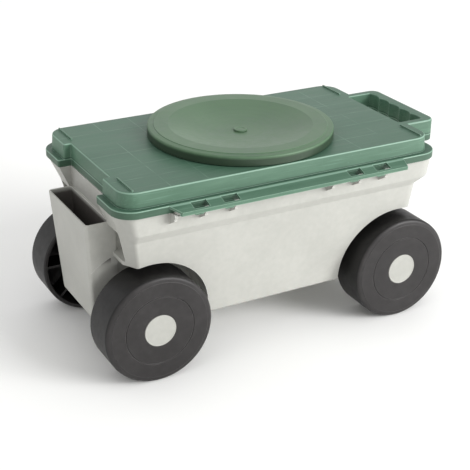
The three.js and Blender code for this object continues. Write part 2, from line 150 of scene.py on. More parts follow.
def rounded(corners, steps=ARC_STEPS):
    """A closed outline through (x, y, radius) corners, with an arc in place of each corner."""
    points = []
    for i, (x, y, radius) in enumerate(corners):
        corner = Vector((x, y))
        before = (Vector(corners[i - 1][:2]) - corner).normalized()
        after = (Vector(corners[(i + 1) % len(corners)][:2]) - corner).normalized()
        half = before.angle(after) / 2
        centre = corner + (before + after).normalized() * radius / sin(half)
        start = corner + before * radius / tan(half) - centre
        end = corner + after * radius / tan(half) - centre
        sweep = atan2(start.cross(end), start.dot(end))
        for step in range(steps + 1):
            turn = Matrix.Rotation(sweep * step / steps, 2)
            points.append(centre + turn @ start)
    return points


def offset(points, inwards):
    """An anticlockwise outline moved inwards by a distance, or outwards if it is negative."""
    if not inwards:
        return list(points)
    moved = []
    for i, point in enumerate(points):
        before = (point - points[i - 1]).normalized()
        after = (points[(i + 1) % len(points)] - point).normalized()
        first = Vector((-before.y, before.x))
        second = Vector((-after.y, after.x))
        moved.append(point + (first + second) * inwards / (1 + first.dot(second)))
    return moved


def mixed(first, second, share):
    return [a.lerp(b, share) for a, b in zip(first, second)]


def rectangle(x0, x1, y0, y1, radius):
    return [(x1, y1, radius), (x0, y1, radius), (x0, y0, radius), (x1, y0, radius)]


def notched_rectangle(x0, x1, half, radius):
    """A lid outline: a rectangle whose pocket end is set back behind the tool pocket."""
    return [
        (x1, half, radius),
        (x0, half, radius),
        (x0, NOTCH_HALF, 3),
        (NOTCH_X, NOTCH_HALF, 2),
        (NOTCH_X, -NOTCH_HALF, 2),
        (x0, -NOTCH_HALF, 3),
        (x0, -half, radius),
        (x1, -half, radius),
    ]


# ------------------------------------------------------------------ meshes


def new_object(name, mesh):
    made = bpy.data.objects.new(name, mesh)
    bpy.context.scene.collection.objects.link(made)
    return made


def mesh_of(bm):
    bmesh.ops.recalc_face_normals(bm, faces=bm.faces)
    mesh = bpy.data.meshes.new("piece")
    bm.to_mesh(mesh)
    bm.free()
    return mesh


def loft(rings, closed=False):
    """A solid through rings of points. With closed it runs back to its first ring, and has no end caps."""
    bm = bmesh.new()
    levels = [[bm.verts.new(point) for point in ring] for ring in rings]
    count = len(levels[0])
    pairs = list(zip(levels, levels[1:]))
    if closed:
        pairs.append((levels[-1], levels[0]))
    for low, high in pairs:
        for i in range(count):
            j = (i + 1) % count
            bm.faces.new((low[i], low[j], high[j], high[i]))
    if not closed:
        bm.faces.new(levels[0][::-1])
        bm.faces.new(levels[-1])
    return mesh_of(bm)


def stacked(levels, foot_round=0, head_round=0, soft=0):
    """A solid through (outline, height) levels, rounded at its foot and head and softened in between."""
    def outline_at(height):
        for (low, z0), (high, z1) in zip(levels, levels[1:]):
            if height <= z1:
                return mixed(low, high, (height - z0) / (z1 - z0))
        return levels[-1][0]

    foot = levels[0][1]
    head = levels[-1][1]
    rings = []
    for step in range(ARC_STEPS // 2 + 1 if foot_round else 1):
        turn = pi / 2 - step * pi / ARC_STEPS
        height = foot + foot_round * (1 - sin(turn))
        rings.append((offset(outline_at(height), foot_round * (1 - cos(turn))), height))
    for outline, height in levels[1:-1]:
        below = outline_at(height - soft)
        above = outline_at(height + soft)
        for step in range(5 if soft else 1):
            share = step / 4 if soft else 0.5
            bend = mixed(mixed(below, outline, share), mixed(outline, above, share), share)
            rings.append((bend if soft else outline, height + soft * (2 * share - 1)))
    for step in range(ARC_STEPS // 2 + 1 if head_round else 1):
        turn = step * pi / ARC_STEPS if head_round else 0
        height = head - head_round * (1 - sin(turn))
        rings.append((offset(outline_at(height), head_round * (1 - cos(turn))), height))
    return loft([[(p.x, p.y, z) for p in outline] for outline, z in rings])


def mouth(levels, edge_round, above=6):
    """A cutter through (outline, height) levels whose top flares, so that the edge it leaves is rounded."""
    outline, head = levels[-1]
    rings = [(low, height) for low, height in levels[:-1]]
    for step in range(ARC_STEPS // 2 + 1):
        turn = step * pi / ARC_STEPS
        rings.append((offset(outline, -edge_round * (1 - cos(turn))), head - edge_round * (1 - sin(turn))))
    rings.append((offset(outline, -edge_round), head + above))
    return loft([[(p.x, p.y, z) for p in ring] for ring, z in rings])


def box(x0, x1, y0, y1, z0, z1):
    corners = [(x1, y1), (x0, y1), (x0, y0), (x1, y0)]
    return loft([[(x, y, z) for x, y in corners] for z in (z0, z1)])


def bar(axis, centre, radius, start, end, steps=48):
    """A round bar along axis 0, 1 or 2 between two places, around the two other coordinates."""
    rings = []
    for place in (start, end):
        ring = []
        for i in range(steps):
            turn = 2 * pi * (i + 0.5) / steps
            point = [centre[0] + radius * cos(turn), centre[1] + radius * sin(turn)]
            point.insert(axis, place)
            ring.append(point)
        rings.append(ring)
    return loft(rings)


def section_along_x(points, x0, x1):
    """A slab whose y, z outline is given, between two places along X."""
    return loft([[(x, y, z) for y, z in points] for x in (x0, x1)])


def turned(profile, steps=TURNED_STEPS):
    """A piece turned about the Y axis from a closed outline of radius and place along the axis."""
    rings = []
    for i in range(steps):
        turn = 2 * pi * i / steps
        rings.append([(p.x * cos(turn), p.y, p.x * sin(turn)) for p in profile])
    mesh = loft(rings, closed=True)
    bm = bmesh.new()
    bm.from_mesh(mesh)
    bmesh.ops.remove_doubles(bm, verts=bm.verts, dist=0.001)
    bpy.data.meshes.remove(mesh)
    return mesh_of(bm)


def evaluated(obj):
    """The mesh of an object with its modifiers applied. The object is removed."""
    depsgraph = bpy.context.evaluated_depsgraph_get()
    mesh = bpy.data.meshes.new_from_object(obj.evaluated_get(depsgraph))
    bpy.data.objects.remove(obj)
    return mesh


def combined(operation, mesh, tools):
    """A mesh with tools added to it (UNION) or taken from it (DIFFERENCE)."""
    body = new_object("body", mesh)
    helpers = []
    for tool in tools:
        helper = new_object("tool", tool)
        helpers.append(helper)
        modifier = body.modifiers.new("combine", "BOOLEAN")
        modifier.operation = operation
        modifier.object = helper
        modifier.solver = SOLVER
    result = evaluated(body)
    for helper in helpers:
        bpy.data.objects.remove(helper)
    return result


def joined(mesh, *tools):
    return combined("UNION", mesh, tools)


def cut(mesh, *tools):
    return combined("DIFFERENCE", mesh, tools)


def bevelled(mesh, width, segments=2):
    """Rounds the outer edges of a simple piece."""
    piece = new_object("bevelled", mesh)
    modifier = piece.modifiers.new("edges", "BEVEL")
    modifier.width = width
    modifier.segments = segments
    modifier.limit_method = "ANGLE"
    modifier.angle_limit = SHARP_ANGLE
    return evaluated(piece)


# ------------------------------------------------------------------ repeated pieces

SOLVER = "MANIFOLD"


def repeat_tree():
    """Copies a piece at equal steps along a line, or with a turn about the Y axis at each step."""
    tree = bpy.data.node_groups.new("repeat", "GeometryNodeTree")
    sockets = {}
    inputs = (
        ("Piece", "NodeSocketGeometry"),
        ("Count", "NodeSocketInt"),
        ("Step", "NodeSocketVector"),
        ("Turn", "NodeSocketFloat"),
        ("Material", "NodeSocketMaterial"),
    )
    for name, kind in inputs:
        made = tree.interface.new_socket(name, in_out="INPUT", socket_type=kind)
        sockets[name] = made.identifier
    tree.interface.new_socket("Pieces", in_out="OUTPUT", socket_type="NodeSocketGeometry")
    given = add_node(tree, "NodeGroupInput")
    line = add_node(
        tree,
        "GeometryNodeMeshLine",
        {"Count": given.outputs["Count"], "Offset": given.outputs["Step"]},
    )
    turn = add_node(
        tree,
        "ShaderNodeMath",
        {0: add_node(tree, "GeometryNodeInputIndex").outputs[0], 1: given.outputs["Turn"]},
        operation="MULTIPLY",
    )
    turns = add_node(tree, "ShaderNodeCombineXYZ", {"Y": turn.outputs[0]})
    copies = add_node(
        tree,
        "GeometryNodeInstanceOnPoints",
        {"Points": line.outputs[0], "Instance": given.outputs["Piece"], "Rotation": turns.outputs[0]},
    )
    real = add_node(tree, "GeometryNodeRealizeInstances", {"Geometry": copies.outputs[0]})
    painted = add_node(
        tree,
        "GeometryNodeSetMaterial",
        {"Geometry": real.outputs[0], "Material": given.outputs["Material"]},
    )
    add_node(tree, "NodeGroupOutput", {0: painted.outputs[0]})
    return tree, sockets


def repeated(mesh, count, material, step=(0, 0, 0), turn=0.0):
    """The piece copied count times by the repeat tree, as one plain mesh."""
    tree, sockets = REPEAT
    piece = new_object("repeated", mesh)
    modifier = piece.modifiers.new("repeat", "NODES")
    modifier.node_group = tree
    modifier[sockets["Count"]] = count
    modifier[sockets["Step"]] = step
    modifier[sockets["Turn"]] = turn
    modifier[sockets["Material"]] = material
    return evaluated(piece)


# ------------------------------------------------------------------ materials


def linear(colour):
    """A linear RGBA colour from sRGB hex."""
    channels = [int(colour[i:i + 2], 16) / 255 for i in (0, 2, 4)]
    return [c / 12.92 if c <= 0.04045 else ((c + 0.055) / 1.055) ** 2.4 for c in channels] + [1]


def add_node(tree, kind, inputs=None, **settings):
    """Adds a node with its settings. Each input is a value, or the output socket that feeds it."""
    made = tree.nodes.new(kind)
    for name, value in settings.items():
        setattr(made, name, value)
    for name, value in (inputs or {}).items():
        if isinstance(value, bpy.types.NodeSocket):
            tree.links.new(value, made.inputs[name])
        else:
            made.inputs[name].default_value = value
    return made


def ramp(tree, factor, stops):
    """A colour ramp with (place, colour) stops."""
    made = add_node(tree, "ShaderNodeValToRGB", {"Fac": factor})
    elements = made.color_ramp.elements
    while len(elements) < len(stops):
        elements.new(0.5)
    for element, (place, colour) in zip(elements, stops):
        element.position = place
        element.color = colour
    return made.outputs["Color"]


def grey(value):
    return (value, value, value, 1)


def noise(tree, place, size_mm, detail=3, roughness=0.5, stretch=(1, 1, 1)):
    """Noise whose patches are about size_mm across, drawn out along an axis by its stretch."""
    mapped = add_node(tree, "ShaderNodeMapping", {"Vector": place, "Scale": [1 / s for s in stretch]})
    made = add_node(
        tree,
        "ShaderNodeTexNoise",
        {"Vector": mapped.outputs[0], "Scale": 1 / (size_mm * MM), "Detail": detail, "Roughness": roughness},
    )
    return made.outputs["Fac"]


def new_material(name, metallic=0.0, ior=1.5):
    """A material with its shader and the object's own coordinates."""
    made = bpy.data.materials.new(name)
    made.use_nodes = True
    tree = made.node_tree
    tree.nodes.clear()
    shader = add_node(tree, "ShaderNodeBsdfPrincipled", {"Metallic": metallic, "IOR": ior})
    add_node(tree, "ShaderNodeOutputMaterial", {"Surface": shader.outputs[0]})
    place = add_node(tree, "ShaderNodeTexCoord").outputs["Object"]
    return made, tree, shader, place


def relief(tree, height, distance_mm, strength, under=None):
    inputs = {"Height": height, "Distance": distance_mm * MM, "Strength": strength}
    if under is not None:
        inputs["Normal"] = under
    return add_node(tree, "ShaderNodeBump", inputs).outputs["Normal"]


def blend_colours(tree, factor, first, second):
    """Two colours blended by a factor. A colour is a value or a socket."""
    return add_node(tree, "ShaderNodeMix", {0: factor, 6: first, 7: second}, data_type="RGBA").outputs[2]


def math(tree, operation, first, second=0.0):
    """One step of arithmetic on values or sockets."""
    return add_node(tree, "ShaderNodeMath", {0: first, 1: second}, operation=operation).outputs[0]


def step_ramp(tree, value, low, high):
    """0 where the value is below low and 1 where it is above high, with a smooth step between."""
    made = add_node(
        tree,
        "ShaderNodeMapRange",
        {"Value": value, "From Min": low, "From Max": high},
        interpolation_type="SMOOTHSTEP",
    )
    return made.outputs[0]


def edges(tree, width_mm):
    """1 along edges and lips, fading to 0 on open faces."""
    soft = add_node(tree, "ShaderNodeBevel", {"Radius": width_mm * MM}, samples=6).outputs[0]
    plain = add_node(tree, "ShaderNodeNewGeometry").outputs["Normal"]
    likeness = add_node(tree, "ShaderNodeVectorMath", {0: soft, 1: plain}, operation="DOT_PRODUCT")
    return step_ramp(tree, math(tree, "SUBTRACT", 1.0, likeness.outputs["Value"]), 0.01, 0.16)


def crevices(tree, reach_mm):
    """1 deep in corners, grooves and narrow gaps, and 0 on open faces."""
    open_share = add_node(tree, "ShaderNodeAmbientOcclusion", {"Distance": reach_mm * MM}, samples=6)
    return step_ramp(tree, math(tree, "SUBTRACT", 1.0, open_share.outputs["AO"]), 0.25, 0.85)


def axes(tree, vector):
    made = add_node(tree, "ShaderNodeSeparateXYZ", {0: vector})
    return made.outputs["X"], made.outputs["Y"], made.outputs["Z"]


def moulded_plastic(name, colours, roughness, grain_mm, grain_strength, stretch=(1, 1, 1)):
    """Injection-moulded plastic: soft cloudy colour, a fine tool texture and an uneven satin gloss."""
    made, tree, shader, place = new_material(name)
    clouds = noise(tree, place, 70, detail=2, stretch=stretch)
    fine = noise(tree, place, 9, detail=4, roughness=0.6, stretch=stretch)
    half = math(tree, "MULTIPLY", math(tree, "ADD", clouds, fine), 0.5)
    dark, middle, pale = [linear(colour) for colour in colours]
    shade = ramp(tree, half, [(0.38, dark), (0.5, middle), (0.62, pale)])
    gloss = ramp(tree, fine, [(0.3, grey(roughness - 0.05)), (0.7, grey(roughness + 0.05))])
    grain = noise(tree, place, grain_mm, detail=2)
    tree.links.new(shade, shader.inputs["Base Color"])
    tree.links.new(gloss, shader.inputs["Roughness"])
    tree.links.new(relief(tree, grain, 0.3, grain_strength), shader.inputs["Normal"])
    return made, tree, shader, place, shade


def painted_edge_light_and_shade(tree, shader, shade, pale, pale_share, painted_shade_colour, painted_shade_share, edge_mm=1.6, shade_reach_mm=9):
    """Painted highlights along edges and lips, and painted shade in corners, grooves and narrow gaps."""
    painted_highlight = math(tree, "MULTIPLY", edges(tree, edge_mm), pale_share)
    shade = blend_colours(tree, painted_highlight, shade, linear(pale))
    painted_corner_shade = math(tree, "MULTIPLY", crevices(tree, shade_reach_mm), painted_shade_share)
    shade = blend_colours(tree, painted_corner_shade, shade, linear(painted_shade_colour))
    tree.links.new(shade, shader.inputs["Base Color"])


def pocket_painted_shade(tree, place, shade):
    """Painted shade over the inside of the tool pocket, from just below its rim. Its bounds lean with the
    pocket's walls.
    """
    x, y, z = axes(tree, place)
    drop = math(tree, "SUBTRACT", POCKET_RIM * MM, z)
    along = math(tree, "SUBTRACT", x, ORIGIN.x * MM)
    front = math(tree, "SUBTRACT", along, math(tree, "MULTIPLY", drop, POCKET_END_LEAN))
    beside = math(tree, "ABSOLUTE", math(tree, "SUBTRACT", y, ORIGIN.y * MM))
    side = math(tree, "ADD", beside, math(tree, "MULTIPLY", drop, POCKET_SIDE_LEAN))
    share = step_ramp(tree, front, -272.6 * MM, -271.8 * MM)
    share = math(tree, "MULTIPLY", share, step_ramp(tree, front, -240.4 * MM, -241.2 * MM))
    share = math(tree, "MULTIPLY", share, step_ramp(tree, side, 69 * MM, 68.2 * MM))
    share = math(tree, "MULTIPLY", share, step_ramp(tree, drop, 1 * MM, 8 * MM))
    return blend_colours(tree, math(tree, "MULTIPLY", share, 0.9), shade, linear("3c3633"))


def grey_polypropylene():
    # Injection-moulded polypropylene copolymer in warm light grey. The matt tool texture spreads highlights
    # into a broad, soft glow, and the large flat walls show faint clouds where the melt cooled unevenly.
    # Rims carry painted highlights, and painted shade darkens the corners and the inside of the tool pocket.
    made, tree, shader, place, shade = moulded_plastic(
        "light grey moulded polypropylene", ("a9a9a3", "adada7", "b1b1ab"), 0.5, 1.4, 0.08
    )
    shade = pocket_painted_shade(tree, place, shade)
    painted_edge_light_and_shade(tree, shader, shade, "dededa", 0.6, "8a847c", 0.35)
    return made


def height_line(tree, z, low_mm, high_mm):
    """1 between two heights, with soft ends."""
    above = step_ramp(tree, z, (low_mm - 0.3) * MM, (low_mm + 0.3) * MM)
    below = step_ramp(tree, z, (high_mm + 0.15) * MM, (high_mm - 0.15) * MM)
    return math(tree, "MULTIPLY", above, below)


def sink_marks(tree, place):
    """Thin lines over the ribs below the deck, where the plastic drew in as it cooled."""
    x, y, z = axes(tree, place)
    along = math(tree, "PINGPONG", math(tree, "SUBTRACT", y, ORIGIN.y * MM), RIB_PITCH / 2 * MM)
    from_middle = math(tree, "ABSOLUTE", math(tree, "SUBTRACT", x, ORIGIN.x * MM))
    pair_middle = (CROSS_RIBS[0] + CROSS_RIBS[1]) / 2
    pair_half = (CROSS_RIBS[1] - CROSS_RIBS[0]) / 2
    from_pair = math(tree, "ABSOLUTE", math(tree, "SUBTRACT", from_middle, pair_middle * MM))
    across = math(tree, "ABSOLUTE", math(tree, "SUBTRACT", from_pair, pair_half * MM))
    nearest = math(tree, "MINIMUM", along, across)
    facing = axes(tree, add_node(tree, "ShaderNodeTexCoord").outputs["Normal"])[2]
    flat = step_ramp(tree, facing, 0.97, 0.995)
    on_deck = math(tree, "MULTIPLY", flat, step_ramp(tree, z, (DECK_TOP - 0.6) * MM, (DECK_TOP - 0.3) * MM))
    broken = step_ramp(tree, noise(tree, place, 40, detail=3), 0.36, 0.62)
    lines = math(tree, "MULTIPLY", step_ramp(tree, nearest, 0.9 * MM, 0.25 * MM), on_deck)
    return math(tree, "MULTIPLY", lines, broken)


def green_polypropylene():
    # Injection-moulded polypropylene in bottle green. It is satin rather than matt, with streaks drawn out
    # along the flow of the melt, and pale sink lines on the deck over the ribs below. Edges carry painted
    # highlights;
    # painted shade darkens the level faces, the flange lip, the ledge above the flange and the corners.
    made, tree, shader, place, shade = moulded_plastic(
        "green moulded polypropylene", ("446551", "4b6c58", "53745f"), 0.5, 1.2, 0.12, stretch=(7, 1, 1)
    )
    streaks = step_ramp(tree, noise(tree, place, 2.5, detail=3, stretch=(24, 1, 1)), 0.5, 0.8)
    shade = blend_colours(tree, math(tree, "MULTIPLY", streaks, 0.22), shade, linear("7ea38e"))
    scuffs = step_ramp(tree, noise(tree, place, 3.5, detail=4, roughness=0.8), 0.6, 0.74)
    shade = blend_colours(tree, math(tree, "MULTIPLY", scuffs, 0.2), shade, linear("8fae9c"))
    shade = blend_colours(tree, math(tree, "MULTIPLY", sink_marks(tree, place), 0.5), shade, linear("8fb09e"))
    _, y, z = axes(tree, place)
    level = axes(tree, add_node(tree, "ShaderNodeTexCoord").outputs["Normal"])[2]
    # Painted shade: the level faces are painted darker than the walls, standing for how light falls on them.
    painted_top_shade = math(tree, "MULTIPLY", step_ramp(tree, level, 0.9, 0.99), 0.42)
    shade = blend_colours(tree, painted_top_shade, shade, linear("234a38"))
    # Painted shade on the flange's outer lip below its top edge.
    below_edge = step_ramp(tree, z, (FLANGE_TOP - 1.4) * MM, (FLANGE_TOP - 2.4) * MM)
    from_middle = math(tree, "ABSOLUTE", math(tree, "SUBTRACT", y, ORIGIN.y * MM))
    on_flange = step_ramp(tree, from_middle, 147.5 * MM, 146.5 * MM)
    painted_lip_shade = math(tree, "MULTIPLY", math(tree, "MULTIPLY", below_edge, on_flange), 0.6)
    shade = blend_colours(tree, painted_lip_shade, shade, linear("25402f"))
    # Painted highlights: pale lines along the rounded top edges of the deck and flange.
    deck_edge = height_line(tree, z, DECK_TOP - 1.9, DECK_TOP - 0.25)
    flange_edge = height_line(tree, z, FLANGE_TOP - 1.4, FLANGE_TOP - 0.3)
    painted_edge_highlights = math(tree, "MULTIPLY", math(tree, "ADD", deck_edge, flange_edge), 0.45)
    shade = blend_colours(tree, painted_edge_highlights, shade, linear("9dbdab"))
    # Painted shadow: a dark line on the deck wall just above the flange ledge.
    painted_ledge_shadow = math(tree, "MULTIPLY", height_line(tree, z, FLANGE_TOP + 0.1, FLANGE_TOP + 1.8), 0.6)
    shade = blend_colours(tree, painted_ledge_shadow, shade, linear("1d382b"))
    painted_edge_light_and_shade(tree, shader, shade, "a3c2b0", 0.6, "1d382b", 0.5, shade_reach_mm=5)
    return made


def olive_polypropylene():
    # Injection-moulded polypropylene in olive green. Its finish is smoother than the lid's. The skirt under
    # the rim is painted darker as painted shade, edges carry painted highlights and corners painted shade.
    made, tree, shader, place, shade = moulded_plastic(
        "olive moulded polypropylene", ("47634a", "4b684c", "4f6c50"), 0.48, 1.2, 0.06
    )
    x, y, z = axes(tree, place)
    off_x = math(tree, "SUBTRACT", x, ORIGIN.x * MM)
    off_y = math(tree, "SUBTRACT", y, ORIGIN.y * MM)
    spread = math(tree, "ADD", math(tree, "MULTIPLY", off_x, off_x), math(tree, "MULTIPLY", off_y, off_y))
    radius = math(tree, "SQRT", spread)
    # Painted shade: the skirt below the rim is painted darker.
    painted_skirt_shade = step_ramp(tree, z, (SEAT_TOP - 3) * MM, (SEAT_TOP - 7) * MM)
    outermost = step_ramp(tree, radius, (SEAT_RADIUS - 6) * MM, (SEAT_RADIUS - 2) * MM)
    painted_skirt_shade = math(tree, "MULTIPLY", painted_skirt_shade, outermost)
    shade = blend_colours(tree, math(tree, "MULTIPLY", painted_skirt_shade, 0.8), shade, linear("142616"))
    painted_edge_light_and_shade(tree, shader, shade, "93a88f", 0.5, "20341f", 0.3)
    return made


def black_polyethylene():
    # Blow-moulded polyethylene with carbon black. Waxy, with a coarse leathery skin. The faces carry a grey
    # bloom of dust. The treads are painted darker as painted shade, edges carry painted highlights and
    # corners painted shade.
    made, tree, shader, _, shade = moulded_plastic(
        "black blow-moulded polyethylene", ("242222", "292727", "2f2d2d"), 0.46, 1.6, 0.16
    )
    facing = axes(tree, add_node(tree, "ShaderNodeTexCoord").outputs["Normal"])[1]
    # Painted shade: faces turned away from the axle, the treads, are painted darker.
    painted_tread_shade = step_ramp(tree, math(tree, "ABSOLUTE", facing), 0.75, 0.4)
    shade = blend_colours(tree, math(tree, "MULTIPLY", painted_tread_shade, 0.9), shade, linear("0e0d0d"))
    shader.inputs["Specular IOR Level"].default_value = 0.35
    painted_edge_light_and_shade(tree, shader, shade, "8b8888", 0.42, "100f0f", 0.6, edge_mm=1.2)
    return made


def cap_polypropylene():
    # Injection-moulded polypropylene, a shade lighter and smoother than the tub.
    made, tree, shader, _, shade = moulded_plastic(
        "cap moulded polypropylene", ("a1a19b", "a5a59f", "a9a9a3"), 0.42, 1.2, 0.05
    )
    # Painted highlights along the cap's edges, and painted shade in its corners.
    painted_edge_light_and_shade(tree, shader, shade, "e2e2dc", 0.5, "8a847c", 0.5, edge_mm=0.8)
    return made


def natural_nylon():
    # Unpigmented nylon, turned or moulded: milky and slightly yellow, with a soft waxy gloss.
    made, *_ = moulded_plastic("natural nylon", ("dcd8c9", "e3dfd2", "e9e6db"), 0.38, 0.8, 0.06)
    return made


def zinc_plated_steel():
    # Drawn steel with bright zinc plating: silvery grey with cloudy crystal patches and fine drawing lines.
    made, tree, shader, place = new_material("zinc plated steel", metallic=1.0)
    patches = noise(tree, place, 4, detail=4, roughness=0.7)
    lines = noise(tree, place, 0.8, detail=2, stretch=(1, 12, 1))
    shade = ramp(tree, patches, [(0.3, linear("9a9da0")), (0.7, linear("c3c5c6"))])
    gloss = ramp(tree, patches, [(0.3, grey(0.28)), (0.7, grey(0.42))])
    tree.links.new(shade, shader.inputs["Base Color"])
    tree.links.new(gloss, shader.inputs["Roughness"])
    tree.links.new(relief(tree, lines, 0.05, 0.2), shader.inputs["Normal"])
    return made


def matt_floor():
    # Matt white studio floor, with only the slight unevenness of painted board.
    made, tree, shader, place = new_material("matt painted floor")
    tone = noise(tree, place, 400, detail=2)
    shade = ramp(tree, tone, [(0.3, linear("f4f4f2")), (0.7, linear("f8f8f7"))])
    tree.links.new(shade, shader.inputs["Base Color"])
    shader.inputs["Roughness"].default_value = 0.9
    shader.inputs["Specular IOR Level"].default_value = 0.1
    return made


# ------------------------------------------------------------------ finishing


def finished(name, mesh, material, body, slot_name, *stands_for):
    """Moves a mesh into the frame, smooths its shading and makes it a piece of the cart."""
    mesh.transform(PLACE)
    bm = bmesh.new()
    bm.from_mesh(mesh)
    bmesh.ops.triangulate(bm, faces=[face for face in bm.faces if len(face.verts) > 4])
    bmesh.ops.remove_doubles(bm, verts=bm.verts, dist=0.002 * MM)
    bm.to_mesh(mesh)
    bm.free()
    mesh.materials.clear()
    mesh.materials.append(material)
    mesh.polygons.foreach_set("material_index", [0] * len(mesh.polygons))
    mesh.polygons.foreach_set("use_smooth", [True] * len(mesh.polygons))
    mesh.set_sharp_from_angle(angle=SHARP_ANGLE)
    shaded = new_object("shaded", mesh)
    modifier = shaded.modifiers.new("flat faces", "WEIGHTED_NORMAL")
    modifier.keep_sharp = True
    piece = new_object(name, evaluated(shaded))
    piece.data.name = name
    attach(piece, body)
    if stands_for:
        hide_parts(*stands_for)
    return piece


# ------------------------------------------------------------------ tub


def tub_outline(x0, shoulder, x1, corner, half, radius, turn_radius):
    """One level of the tub. Its pocket end is x0, with a flat facet at each corner that ends at corner."""
    return rounded([
        (x1, half, radius),
        (corner, half, turn_radius),
        (x0, shoulder, turn_radius),
        (x0, -shoulder, turn_radius),
        (corner, -half, turn_radius),
        (x1, -half, radius),
    ])


def tub_levels(inset=0):
    """The tub's outlines from its foot to its rim, or with an inset those of the space inside it."""
    plans = [
        (tub_outline(-218, 84, 226, -207, 110, 20, 6), TUB_FLOOR + inset),
        (tub_outline(-240, 103, 237, -229.5, 130.5, 22, 6), CHAMFER_FOOT),
        (tub_outline(-243, 106, 254.5, -231, 137, 24, 9), COLLAR_FOOT),
        (tub_outline(-256, 113, 258, -238, 140, 26, 14), TUB_RIM),
    ]
    return [(offset(outline, inset), height) for outline, height in plans]


def pocket_recesses(inset=0):
    """The deep recesses in the end wall beside the tool pocket. Their floors follow the wheel arches."""
    cutters = []
    for side in (-1, 1):
        y0, y1 = sorted((side * (RECESS_NEAR - inset), side * (RECESS_FAR + inset)))
        cutter = box(-300, RECESS_BACK + inset, y0, y1, 120, RECESS_HEAD + inset)
        fender = bar(1, (-AXLE_X, AXLE_Z), FENDER_RADIUS - inset, -150, 150, TURNED_STEPS)
        cutters.append(cut(cutter, fender))
    return cutters


def waist_levels(inset=0):
    """The narrow part between the wheels."""
    foot = rounded(rectangle(-230, 226, -57, 57, 8))
    head = rounded(rectangle(-238, 237, -68, 68, 8))
    return [(offset(foot, inset), TUB_FLOOR + inset), (offset(head, inset), CHAMFER_FOOT + 8)]


def wheel_well(x, side, radius, inner):
    """The arched space that a wheel turns in."""
    arch = [(x - radius, -10)]
    for step in range(TURNED_STEPS // 2 + 1):
        turn = pi - pi * step / (TURNED_STEPS // 2)
        arch.append((x + radius * cos(turn), AXLE_Z + radius * sin(turn)))
    arch.append((x + radius, -10))
    return loft([[(px, side * y, pz) for px, pz in arch] for y in (inner, 200)])


def wheel_wells(radius, inner):
    return [wheel_well(x, side, radius, inner) for x in (-AXLE_X, AXLE_X) for side in (-1, 1)]


def tool_pocket():
    foot = rounded(rectangle(-264, -222, -58.5, 58.5, 5))
    head = rounded(rectangle(-275, -228, -71, 71, 5))
    solid = stacked([(foot, TUB_FLOOR), (head, POCKET_RIM)], foot_round=4, head_round=1)
    return cut(solid, *wheel_wells(WELL_RADIUS, 64))


def pocket_space():
    foot = rounded(rectangle(-261, -234.5, -55.5, 55.5, 3))
    head = rounded(rectangle(-272, -241, -68, 68, 3))
    return mouth([(foot, TUB_FLOOR + WALL), (head, POCKET_RIM)], 1, above=60)


def hinge_gussets(base, material):
    """Ribs below the lid's strip that carry the hinge pin."""
    plate = section_along_x([
        (-138.2, 250.3),
        (HINGE_Y + 1, 250.3),
        (HINGE_Y - 1.5, HINGE_Z - 6.1),
        (-136.5, 231),
    ], -2, 2)
    rib = joined(bevelled(plate, 0.5), bar(0, (HINGE_Y, HINGE_Z), 3.7, -2, 2, 32))
    rib.transform(Matrix.Translation((base - 36.5, 0, 0)))
    return repeated(rib, 3, material, step=(GUSSET_PITCH, 0, 0))


def make_tub(material):
    body = stacked(tub_levels(), foot_round=4, head_round=1, soft=1.5)
    body = cut(body, *wheel_wells(WELL_RADIUS, 50), *pocket_recesses())
    body = joined(body, stacked(waist_levels(), foot_round=5), tool_pocket())
    body = cut(
        body,
        box(-300, -238, -70, 70, POCKET_RIM + 0.01, TUB_RIM + 10),
        box(238, 300, -68, 68, CHAMFER_FOOT, TUB_RIM + 10),
    )
    bosses = [bar(1, (x, AXLE_Z), BOSS_RADIUS, -BOSS_REACH, BOSS_REACH) for x in (-AXLE_X, AXLE_X)]
    body = joined(body, *bosses)
    space = mouth(tub_levels(WALL), 0.8)
    space = cut(space, *wheel_wells(WELL_RADIUS + WALL, 50), *pocket_recesses(WALL))
    waist = stacked(waist_levels(WALL))
    space = joined(space, waist)
    tunnels = [bar(1, (x, AXLE_Z), 9.5, -100, 100) for x in (-AXLE_X, AXLE_X)]
    notches = [
        box(-300, -238 + WALL, -70 - WALL, 70 + WALL, 150, TUB_RIM + 20),
        box(238 - WALL, 300, -68 - WALL, 68 + WALL, CHAMFER_FOOT - WALL, TUB_RIM + 20),
    ]
    space = cut(space, *tunnels, *notches)
    bores = [bar(1, (x, AXLE_Z), AXLE_BORE, -100, 100) for x in (-AXLE_X, AXLE_X)]
    body = cut(body, space, pocket_space(), *bores)
    pieces = [hinge_gussets(base, material) for base in HINGE_GROUPS]
    pieces += [bar(0, (HINGE_Y, HINGE_Z), HINGE_PIN, base - 38, base + 55, 24) for base in HINGE_GROUPS]
    return joined(body, *pieces)


# ------------------------------------------------------------------ lid


def deck_levels(inset=0):
    foot = offset(rounded(notched_rectangle(-249.5, 247, 139, 25)), inset)
    head = offset(rounded(notched_rectangle(-247.5, 245, 137, 25)), inset)
    return [(foot, LID_FOOT), (head, DECK_TOP)]


def flange_levels():
    outline = rounded(notched_rectangle(-257.5, 259, 145.7, 31))
    return [(outline, LID_FOOT), (outline, FLANGE_TOP)]


